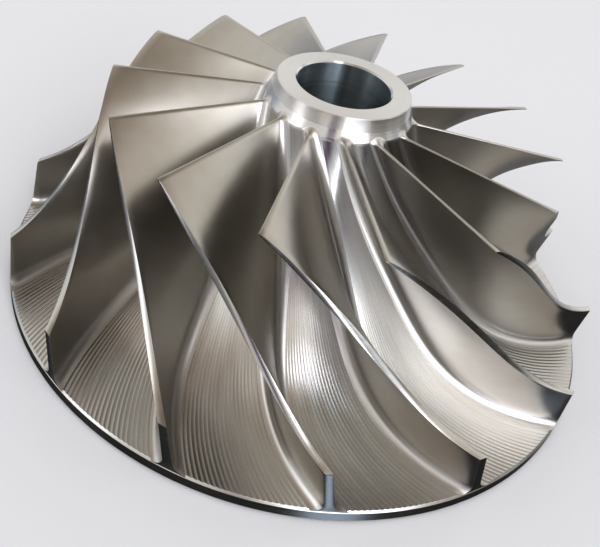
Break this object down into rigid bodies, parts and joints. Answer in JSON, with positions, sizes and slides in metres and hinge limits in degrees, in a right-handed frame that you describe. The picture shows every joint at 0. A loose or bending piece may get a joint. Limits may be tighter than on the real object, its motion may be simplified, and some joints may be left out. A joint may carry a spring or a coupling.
{
  "type": "open centrifugal impeller",
  "caption": "Semi-open centrifugal impeller with a flared hub, a thin back disc and full-length backswept blades, milled in one piece, with a plain through bore in the nose.",
  "frame": {"origin": "centre of the flat back face, on the shaft axis", "axes": "+Z along the shaft axis towards the inlet nose; the first blade's inlet tip lies half a blade pitch counter-clockwise from +X, seen from the nose"},
  "size_m": [0.3, 0.3, 0.119],
  "materials": {
    "hub_steel": "bright turned nose and rim, honed bore, milled floors with fine parallel scallop lines",
    "blade_steel": "satin flank-milled blades with bright turned outer edges"
  },
  "bodies": {
    "root": {"hub": "hub_steel", "blade_01": "blade_steel", "blade_02": "blade_steel", "blade_03": "blade_steel", "blade_04": "blade_steel", "blade_05": "blade_steel", "blade_06": "blade_steel", "blade_07": "blade_steel", "blade_08": "blade_steel", "blade_09": "blade_steel", "blade_10": "blade_steel", "blade_11": "blade_steel", "blade_12": "blade_steel", "blade_13": "blade_steel", "blade_14": "blade_steel"}
  },
  "joints": []
}
